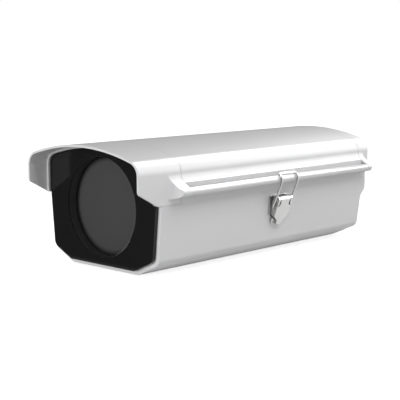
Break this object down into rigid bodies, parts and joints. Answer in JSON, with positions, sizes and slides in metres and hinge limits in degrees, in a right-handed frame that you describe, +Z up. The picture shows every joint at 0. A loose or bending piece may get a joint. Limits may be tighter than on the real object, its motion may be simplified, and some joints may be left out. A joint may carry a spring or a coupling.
{
  "type": "security camera housing",
  "caption": "Outdoor camera housing: drafted base trough with a round window, hooded side-opening lid on hinges, and an over-centre wire latch over a long rod.",
  "frame": {"origin": "centre of the bracket's four screw holes, on the flat underside", "axes": "+Z up, +Y along the housing from the window to the rear, +X to the side with the latch"},
  "size_m": [0.1692, 0.3364, 0.111],
  "materials": {
    "white_paint": "silver-white powder coat on cast and extruded aluminium",
    "stainless": "satin stainless steel",
    "black_moulding": "gloss black moulding",
    "smoked_glass": "smoked flat glass",
    "seal_rubber": "matt black rubber",
    "zinc": "zinc plated steel",
    "plain_aluminium": "bare rolled aluminium",
    "board": "green glass-fibre board",
    "terminal": "green moulded terminal blocks",
    "black_nylon": "black moulded nylon",
    "brass": "plain brass"
  },
  "bodies": {
    "housing": {"base_tray": "white_paint", "window_bezel": "black_moulding", "bezel_seal": "seal_rubber", "glass_gasket": "seal_rubber", "window_glass": "smoked_glass", "glass_retainer": "black_nylon", "bezel_screws": "zinc", "base_seal": "seal_rubber", "latch_plate": "stainless", "latch_pin": "stainless", "latch_screws": "stainless", "hinge_base_leaves": "stainless", "hinge_pins": "stainless", "hinge_base_screws": "stainless", "camera_plate": "plain_aluminium", "plate_screws": "zinc", "camera_screw": "stainless", "camera_washer": "seal_rubber", "terminal_board": "board", "terminal_blocks": "terminal", "board_screws": "zinc", "earth_screw": "brass", "gland_bodies": "black_nylon", "gland_nuts": "black_nylon", "gland_bushes": "seal_rubber", "gland_locknuts": "black_nylon"},
    "lid": {"lid_cover": "white_paint", "hood": "white_paint", "rear_cap": "white_paint", "hood_screws": "zinc", "cap_screws": "zinc", "latch_rod": "white_paint", "hinge_lid_leaves": "stainless", "hinge_lid_screws": "stainless"},
    "lever": {"latch_lever": "stainless"},
    "bail": {"latch_bail": "stainless"}
  },
  "joints": [
    {"name": "lid_open", "type": "hinge", "parent": "housing", "child": "lid", "pos_m": [-0.0795, 0.016, 0.066], "axis": [0, -1, 0], "range_deg": [0, 95]},
    {"name": "lever_flip", "type": "hinge", "parent": "housing", "child": "lever", "pos_m": [0.0786, 0.01545, 0.0542], "axis": [0, -1, 0], "range_deg": [0, 120]},
    {"name": "bail_swing", "type": "hinge", "parent": "lever", "child": "bail", "pos_m": [0.0756, 0.01545, 0.047], "axis": [0, -1, 0], "range_deg": [-180, 0]}
  ],
  "couplings": [
    {"joint": "bail_swing", "follows": "lever_flip", "ratio": -1.5}
  ]
}
